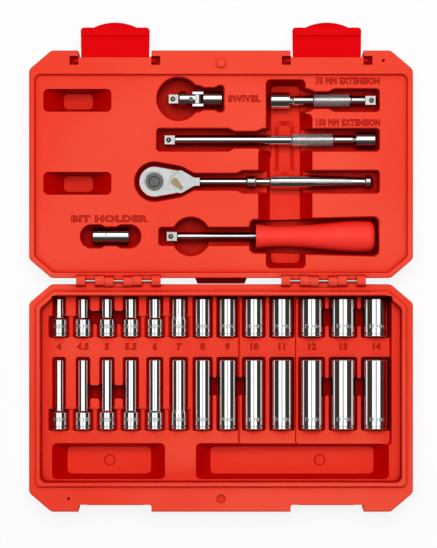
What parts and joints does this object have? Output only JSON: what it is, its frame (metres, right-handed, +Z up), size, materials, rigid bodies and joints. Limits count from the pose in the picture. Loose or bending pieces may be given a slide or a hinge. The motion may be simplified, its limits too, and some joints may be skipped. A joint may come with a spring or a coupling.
{
  "type": "socket wrench set in case",
  "caption": "Open hinged plastic case with snap latches, holding rows of shallow and deep sockets, a quick-release ratchet, extensions, universal joint, bit adapter and spinner handle.",
  "frame": {"origin": "centre of the underside of the base half", "axes": "+X along the hinge to the right, +Y from the base towards the opened lid, +Z up"},
  "size_m": [0.275, 0.3509, 0.0313],
  "materials": {
    "case_plastic": "fine matt moulded polyethylene, orange-red",
    "latch_plastic": "smooth moulded, bright red",
    "grip_plastic": "polished moulded, red",
    "chrome": "polished chrome plate",
    "plain_steel": "ground steel",
    "dark_steel": "dark phosphated steel"
  },
  "bodies": {
    "case_base": {"case_base": "case_plastic", "left_hinge_pin": "plain_steel", "right_hinge_pin": "plain_steel"},
    "case_lid": {"case_lid": "case_plastic"},
    "left_latch": {"left_latch": "latch_plastic"},
    "right_latch": {"right_latch": "latch_plastic"},
    "ratchet": {"ratchet_body": "chrome", "ratchet_cover_plate": "chrome", "ratchet_cover_screws": "plain_steel"},
    "ratchet_gear": {"ratchet_drive_gear": "dark_steel"},
    "ratchet_button": {"ratchet_release_button": "dark_steel"},
    "ratchet_ball": {"ratchet_detent_ball": "plain_steel"},
    "ratchet_lever": {"ratchet_reverse_lever": "plain_steel"},
    "ratchet_pawl": {"ratchet_pawl": "dark_steel"},
    "swivel": {"swivel_socket_end": "chrome"},
    "swivel_block": {"swivel_block": "plain_steel", "swivel_pins": "plain_steel"},
    "swivel_drive": {"swivel_drive_end": "chrome"},
    "swivel_ball": {"swivel_ball": "plain_steel"},
    "short_extension": {"short_extension": "chrome"},
    "short_extension_ball": {"short_extension_ball": "plain_steel"},
    "long_extension": {"long_extension": "chrome"},
    "long_extension_ball": {"long_extension_ball": "plain_steel"},
    "bit_adapter": {"bit_adapter": "chrome", "bit_adapter_ring": "plain_steel"},
    "spinner": {"spinner_grip": "grip_plastic", "spinner_shank": "chrome"},
    "spinner_ball": {"spinner_ball": "plain_steel"},
    "shallow_socket_4": {"shallow_socket_4": "chrome"},
    "shallow_socket_4_5": {"shallow_socket_4_5": "chrome"},
    "shallow_socket_5": {"shallow_socket_5": "chrome"},
    "shallow_socket_5_5": {"shallow_socket_5_5": "chrome"},
    "shallow_socket_6": {"shallow_socket_6": "chrome"},
    "shallow_socket_7": {"shallow_socket_7": "chrome"},
    "shallow_socket_8": {"shallow_socket_8": "chrome"},
    "shallow_socket_9": {"shallow_socket_9": "chrome"},
    "shallow_socket_10": {"shallow_socket_10": "chrome"},
    "shallow_socket_11": {"shallow_socket_11": "chrome"},
    "shallow_socket_12": {"shallow_socket_12": "chrome"},
    "shallow_socket_13": {"shallow_socket_13": "chrome"},
    "shallow_socket_14": {"shallow_socket_14": "chrome"},
    "deep_socket_4": {"deep_socket_4": "chrome"},
    "deep_socket_4_5": {"deep_socket_4_5": "chrome"},
    "deep_socket_5": {"deep_socket_5": "chrome"},
    "deep_socket_5_5": {"deep_socket_5_5": "chrome"},
    "deep_socket_6": {"deep_socket_6": "chrome"},
    "deep_socket_7": {"deep_socket_7": "chrome"},
    "deep_socket_8": {"deep_socket_8": "chrome"},
    "deep_socket_9": {"deep_socket_9": "chrome"},
    "deep_socket_10": {"deep_socket_10": "chrome"},
    "deep_socket_11": {"deep_socket_11": "chrome"},
    "deep_socket_12": {"deep_socket_12": "chrome"},
    "deep_socket_13": {"deep_socket_13": "chrome"},
    "deep_socket_14": {"deep_socket_14": "chrome"}
  },
  "joints": [
    {"name": "lid_hinge", "type": "hinge", "parent": "case_base", "child": "case_lid", "pos_m": [0, 0.0837, 0.02715], "axis": [-1, 0, 0], "range_deg": [-180, 0]},
    {"name": "left_latch_swing", "type": "hinge", "parent": "case_lid", "child": "left_latch", "pos_m": [-0.076, 0.2417, 0.023], "axis": [-1, 0, 0], "range_deg": [-90, 0]},
    {"name": "right_latch_swing", "type": "hinge", "parent": "case_lid", "child": "right_latch", "pos_m": [0.076, 0.2417, 0.023], "axis": [-1, 0, 0], "range_deg": [-90, 0]},
    {"name": "ratchet_lift", "type": "slide", "parent": "case_lid", "child": "ratchet", "axis": [0, 0, 1], "range_m": [0, 0.04]},
    {"name": "ratchet_gear_spin", "type": "hinge", "parent": "ratchet", "child": "ratchet_gear", "pos_m": [-0.0478, 0.155, 0.01865], "axis": [0, 0, 1], "continuous": true},
    {"name": "release_button_push", "type": "slide", "parent": "ratchet_gear", "child": "ratchet_button", "axis": [0, 0, -1], "range_m": [0, 0.0016], "stiffness_N_per_m": 300, "springref_m": -0.002},
    {"name": "ratchet_ball_retract", "type": "slide", "parent": "ratchet_gear", "child": "ratchet_ball", "axis": [-1, 0, 0], "range_m": [0, 0.0005]},
    {"name": "reverse_lever_swing", "type": "hinge", "parent": "ratchet", "child": "ratchet_lever", "pos_m": [-0.0331, 0.155, 0.0244], "axis": [0, 0, 1], "range_deg": [0, 88]},
    {"name": "pawl_rock", "type": "hinge", "parent": "ratchet", "child": "ratchet_pawl", "pos_m": [-0.0331, 0.155, 0.01865], "axis": [0, 0, 1], "range_deg": [-12, 0]},
    {"name": "universal_joint_lift", "type": "slide", "parent": "case_lid", "child": "swivel", "axis": [0, 0, 1], "range_m": [0, 0.04]},
    {"name": "swivel_pitch", "type": "hinge", "parent": "swivel", "child": "swivel_block", "pos_m": [-0.0168, 0.2145, 0.0175], "axis": [0, 1, 0], "range_deg": [-20, 45]},
    {"name": "swivel_yaw", "type": "hinge", "parent": "swivel_block", "child": "swivel_drive", "pos_m": [-0.0215, 0.2145, 0.0175], "axis": [0, 0, 1], "range_deg": [-30, 30]},
    {"name": "short_extension_lift", "type": "slide", "parent": "case_lid", "child": "short_extension", "axis": [0, 0, 1], "range_m": [0, 0.04]},
    {"name": "long_extension_lift", "type": "slide", "parent": "case_lid", "child": "long_extension", "axis": [0, 0, 1], "range_m": [0, 0.04]},
    {"name": "bit_adapter_lift", "type": "slide", "parent": "case_lid", "child": "bit_adapter", "axis": [0, 0, 1], "range_m": [0, 0.04]},
    {"name": "spinner_lift", "type": "slide", "parent": "case_lid", "child": "spinner", "axis": [0, 0, 1], "range_m": [0, 0.04]},
    {"name": "shallow_socket_4_lift", "type": "slide", "parent": "case_base", "child": "shallow_socket_4", "axis": [0, 0, 1], "range_m": [0, 0.04]},
    {"name": "shallow_socket_4_5_lift", "type": "slide", "parent": "case_base", "child": "shallow_socket_4_5", "axis": [0, 0, 1], "range_m": [0, 0.04]},
    {"name": "shallow_socket_5_lift", "type": "slide", "parent": "case_base", "child": "shallow_socket_5", "axis": [0, 0, 1], "range_m": [0, 0.04]},
    {"name": "shallow_socket_5_5_lift", "type": "slide", "parent": "case_base", "child": "shallow_socket_5_5", "axis": [0, 0, 1], "range_m": [0, 0.04]},
    {"name": "shallow_socket_6_lift", "type": "slide", "parent": "case_base", "child": "shallow_socket_6", "axis": [0, 0, 1], "range_m": [0, 0.04]},
    {"name": "shallow_socket_7_lift", "type": "slide", "parent": "case_base", "child": "shallow_socket_7", "axis": [0, 0, 1], "range_m": [0, 0.04]},
    {"name": "shallow_socket_8_lift", "type": "slide", "parent": "case_base", "child": "shallow_socket_8", "axis": [0, 0, 1], "range_m": [0, 0.04]},
    {"name": "shallow_socket_9_lift", "type": "slide", "parent": "case_base", "child": "shallow_socket_9", "axis": [0, 0, 1], "range_m": [0, 0.04]},
    {"name": "shallow_socket_10_lift", "type": "slide", "parent": "case_base", "child": "shallow_socket_10", "axis": [0, 0, 1], "range_m": [0, 0.04]},
    {"name": "shallow_socket_11_lift", "type": "slide", "parent": "case_base", "child": "shallow_socket_11", "axis": [0, 0, 1], "range_m": [0, 0.04]},
    {"name": "shallow_socket_12_lift", "type": "slide", "parent": "case_base", "child": "shallow_socket_12", "axis": [0, 0, 1], "range_m": [0, 0.04]},
    {"name": "shallow_socket_13_lift", "type": "slide", "parent": "case_base", "child": "shallow_socket_13", "axis": [0, 0, 1], "range_m": [0, 0.04]},
    {"name": "shallow_socket_14_lift", "type": "slide", "parent": "case_base", "child": "shallow_socket_14", "axis": [0, 0, 1], "range_m": [0, 0.04]},
    {"name": "deep_socket_4_lift", "type": "slide", "parent": "case_base", "child": "deep_socket_4", "axis": [0, 0, 1], "range_m": [0, 0.04]},
    {"name": "deep_socket_4_5_lift", "type": "slide", "parent": "case_base", "child": "deep_socket_4_5", "axis": [0, 0, 1], "range_m": [0, 0.04]},
    {"name": "deep_socket_5_lift", "type": "slide", "parent": "case_base", "child": "deep_socket_5", "axis": [0, 0, 1], "range_m": [0, 0.04]},
    {"name": "deep_socket_5_5_lift", "type": "slide", "parent": "case_base", "child": "deep_socket_5_5", "axis": [0, 0, 1], "range_m": [0, 0.04]},
    {"name": "deep_socket_6_lift", "type": "slide", "parent": "case_base", "child": "deep_socket_6", "axis": [0, 0, 1], "range_m": [0, 0.04]},
    {"name": "deep_socket_7_lift", "type": "slide", "parent": "case_base", "child": "deep_socket_7", "axis": [0, 0, 1], "range_m": [0, 0.04]},
    {"name": "deep_socket_8_lift", "type": "slide", "parent": "case_base", "child": "deep_socket_8", "axis": [0, 0, 1], "range_m": [0, 0.04]},
    {"name": "deep_socket_9_lift", "type": "slide", "parent": "case_base", "child": "deep_socket_9", "axis": [0, 0, 1], "range_m": [0, 0.04]},
    {"name": "deep_socket_10_lift", "type": "slide", "parent": "case_base", "child": "deep_socket_10", "axis": [0, 0, 1], "range_m": [0, 0.04]},
    {"name": "deep_socket_11_lift", "type": "slide", "parent": "case_base", "child": "deep_socket_11", "axis": [0, 0, 1], "range_m": [0, 0.04]},
    {"name": "deep_socket_12_lift", "type": "slide", "parent": "case_base", "child": "deep_socket_12", "axis": [0, 0, 1], "range_m": [0, 0.04]},
    {"name": "deep_socket_13_lift", "type": "slide", "parent": "case_base", "child": "deep_socket_13", "axis": [0, 0, 1], "range_m": [0, 0.04]},
    {"name": "deep_socket_14_lift", "type": "slide", "parent": "case_base", "child": "deep_socket_14", "axis": [0, 0, 1], "range_m": [0, 0.04]},
    {"name": "short_extension_ball_press", "type": "slide", "parent": "short_extension", "child": "short_extension_ball", "axis": [0, 0, -1], "range_m": [0, 0.0005], "stiffness_N_per_m": 200, "springref_m": -0.001},
    {"name": "long_extension_ball_press", "type": "slide", "parent": "long_extension", "child": "long_extension_ball", "axis": [0, 0, -1], "range_m": [0, 0.0005], "stiffness_N_per_m": 200, "springref_m": -0.001},
    {"name": "spinner_ball_press", "type": "slide", "parent": "spinner", "child": "spinner_ball", "axis": [0, 0, -1], "range_m": [0, 0.0005], "stiffness_N_per_m": 200, "springref_m": -0.001},
    {"name": "swivel_ball_press", "type": "slide", "parent": "swivel_drive", "child": "swivel_ball", "axis": [0, 0, -1], "range_m": [0, 0.0005], "stiffness_N_per_m": 200, "springref_m": -0.001}
  ],
  "couplings": [
    {"joint": "ratchet_ball_retract", "follows": "release_button_push", "ratio": 0.3125},
    {"joint": "pawl_rock", "follows": "reverse_lever_swing", "ratio": -0.13636}
  ]
}
